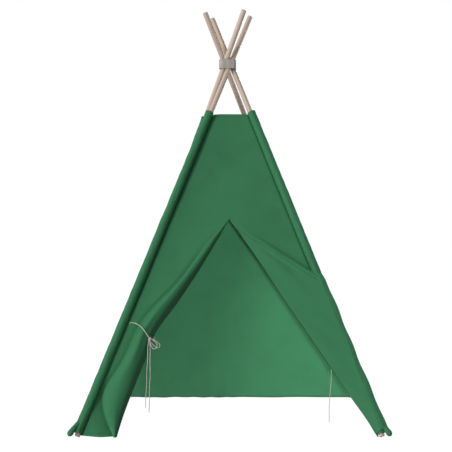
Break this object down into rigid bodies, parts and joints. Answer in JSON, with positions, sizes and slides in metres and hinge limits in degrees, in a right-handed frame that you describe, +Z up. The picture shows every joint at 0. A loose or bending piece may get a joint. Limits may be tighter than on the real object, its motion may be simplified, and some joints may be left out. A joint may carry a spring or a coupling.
{
  "type": "play teepee tent",
  "caption": "Play teepee: wooden poles crossed and banded near the top inside a canvas cover with corner sleeves and a slit door, one leaf tied back, one turned out.",
  "frame": {"origin": "on the floor at the middle of the square that the four pole feet make", "axes": "+Z up, door towards -Y, +X to the right as seen from in front of the door"},
  "size_m": [1.2441, 1.2442, 1.763],
  "materials": {
    "pole_wood": "smooth sanded pine, unvarnished",
    "ferrule_metal": "satin tube",
    "canvas": "plain-weave cotton canvas, matt",
    "canvas_leaf": "plain-weave cotton canvas, matt",
    "webbing": "woven cotton webbing",
    "tie_cord": "twisted cotton cord"
  },
  "bodies": {
    "left_side": {"front_left_pole_lower": "pole_wood", "front_left_pole_upper": "pole_wood", "front_left_ferrule": "ferrule_metal", "front_left_sleeve": "canvas", "front_left_corner_tab": "canvas", "rear_left_pole_lower": "pole_wood", "rear_left_pole_upper": "pole_wood", "rear_left_ferrule": "ferrule_metal", "rear_left_sleeve": "canvas", "rear_left_corner_tab": "canvas", "left_panel": "canvas", "crossing_band": "webbing", "crossing_band_end": "webbing"},
    "right_side": {"front_right_pole_lower": "pole_wood", "front_right_pole_upper": "pole_wood", "front_right_ferrule": "ferrule_metal", "front_right_sleeve": "canvas", "front_right_corner_tab": "canvas", "rear_right_pole_lower": "pole_wood", "rear_right_pole_upper": "pole_wood", "rear_right_ferrule": "ferrule_metal", "rear_right_sleeve": "canvas", "rear_right_corner_tab": "canvas", "right_panel": "canvas"},
    "end_cloth": {"front_panel": "canvas", "rear_panel": "canvas", "left_door_leaf": "canvas_leaf", "right_door_leaf": "canvas_leaf", "left_tie_front": "tie_cord", "left_tie_back": "tie_cord", "left_tie_knot": "tie_cord", "left_tie_loop_upper": "tie_cord", "left_tie_loop_lower": "tie_cord", "left_tie_tail_short": "tie_cord", "left_tie_tail_long": "tie_cord", "right_tie": "tie_cord"}
  },
  "joints": [
    {"name": "side_fold", "type": "hinge", "parent": "left_side", "child": "right_side", "pos_m": [-0.008, 0, 1.54], "axis": [0, 1, 0], "range_deg": [0, 37], "deforming": ["front_panel", "rear_panel", "left_door_leaf", "right_door_leaf", "left_tie_front", "left_tie_back", "left_tie_knot", "left_tie_loop_upper", "left_tie_loop_lower", "left_tie_tail_short", "left_tie_tail_long", "right_tie"]},
    {"name": "end_cloth_fold", "type": "hinge", "parent": "left_side", "child": "end_cloth", "pos_m": [-0.008, 0, 1.54], "axis": [0, 1, 0], "range_deg": [0, 18.5]}
  ],
  "couplings": [
    {"joint": "end_cloth_fold", "follows": "side_fold", "ratio": 0.5}
  ]
}
